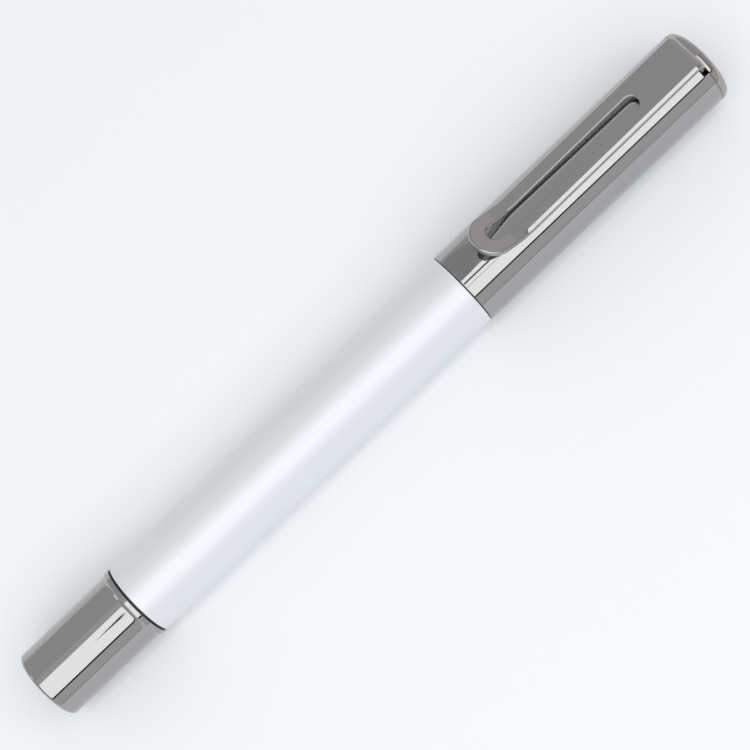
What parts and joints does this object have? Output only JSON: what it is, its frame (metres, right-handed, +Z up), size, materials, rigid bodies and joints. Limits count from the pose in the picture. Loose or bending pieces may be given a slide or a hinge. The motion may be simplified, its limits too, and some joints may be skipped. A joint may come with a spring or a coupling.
{
  "type": "technical pen",
  "caption": "Capped technical pen: plain lacquered barrel, polished metal cap with a slotted spring clip and domed end, narrower tail that the cap can post on, tubular nib and cartridge inside.",
  "frame": {"origin": "under the middle of the pen, on the surface it lies on", "axes": "+X along the pen towards the cap, +Z up through the clip"},
  "size_m": [0.138, 0.013, 0.017],
  "materials": {
    "gunmetal": "mirror-polished dark gunmetal plating",
    "pearl_lacquer": "satin pearl-white lacquer over metal",
    "black_rubber": "matt black",
    "black_ring": "semi-gloss black",
    "section_resin": "semi-gloss black with turned finger rings",
    "core_resin": "moulded dark grey",
    "brass": "turned, bare",
    "steel": "drawn stainless",
    "feed_resin": "moulded black",
    "color_ring": "moulded blue",
    "liner_resin": "moulded pale grey",
    "seal_rubber": "soft grey",
    "cartridge_resin": "clear moulded, ink-stained"
  },
  "bodies": {
    "barrel": {"barrel_tube": "pearl_lacquer", "barrel_rear_bush": "brass", "barrel_front_bush": "brass", "rear_gasket": "black_rubber", "tail_sleeve": "gunmetal", "tail_core": "core_resin", "tail_stud": "steel"},
    "front_ring": {"front_ring": "black_ring"},
    "section": {"section_body": "section_resin", "section_o_ring": "black_rubber", "nib_body": "feed_resin", "nib_cone": "feed_resin", "nib_tube": "steel", "color_ring": "color_ring", "safety_plug": "liner_resin"},
    "weight": {"wire_weight": "steel"},
    "cartridge": {"ink_cartridge": "cartridge_resin"},
    "click_ring": {"click_ring": "steel"},
    "cap": {"cap_tube": "gunmetal", "inner_cap": "liner_resin", "cap_head": "brass", "finial_stud": "steel", "cap_finial": "gunmetal", "seal_spring": "steel"},
    "seal": {"seal_cup": "liner_resin", "seal_pad": "seal_rubber"},
    "clip": {"clip": "gunmetal"}
  },
  "joints": [
    {"name": "section_advance", "type": "slide", "parent": "barrel", "child": "front_ring", "axis": [1, 0, 0], "range_m": [0, 0.005]},
    {"name": "section_turn", "type": "hinge", "parent": "front_ring", "child": "section", "pos_m": [0.015, 0, 0.0065], "axis": [1, 0, 0], "range_deg": [0, 1800]},
    {"name": "weight_drop", "type": "slide", "parent": "section", "child": "weight", "axis": [-1, 0, 0], "range_m": [0, 0.0012]},
    {"name": "cartridge_pull", "type": "slide", "parent": "section", "child": "cartridge", "axis": [-1, 0, 0], "range_m": [0, 0.0065]},
    {"name": "cap_turn", "type": "hinge", "parent": "section", "child": "click_ring", "pos_m": [0.0378, 0, 0.0065], "axis": [1, 0, 0], "continuous": true},
    {"name": "cap_pull", "type": "slide", "parent": "click_ring", "child": "cap", "axis": [1, 0, 0], "range_m": [0, 0.045]},
    {"name": "seal_press", "type": "slide", "parent": "cap", "child": "seal", "axis": [1, 0, 0], "range_m": [0, 0.0015], "stiffness_N_per_m": 300, "deforming": ["seal_spring"]},
    {"name": "clip_flex", "type": "hinge", "parent": "cap", "child": "clip", "pos_m": [0.0667, 0, 0.0128], "axis": [0, 1, 0], "range_deg": [0, 4], "stiffness_Nm_per_rad": 2}
  ],
  "couplings": [
    {"joint": "section_turn", "follows": "section_advance", "rad_per_m": 6283.2}
  ]
}
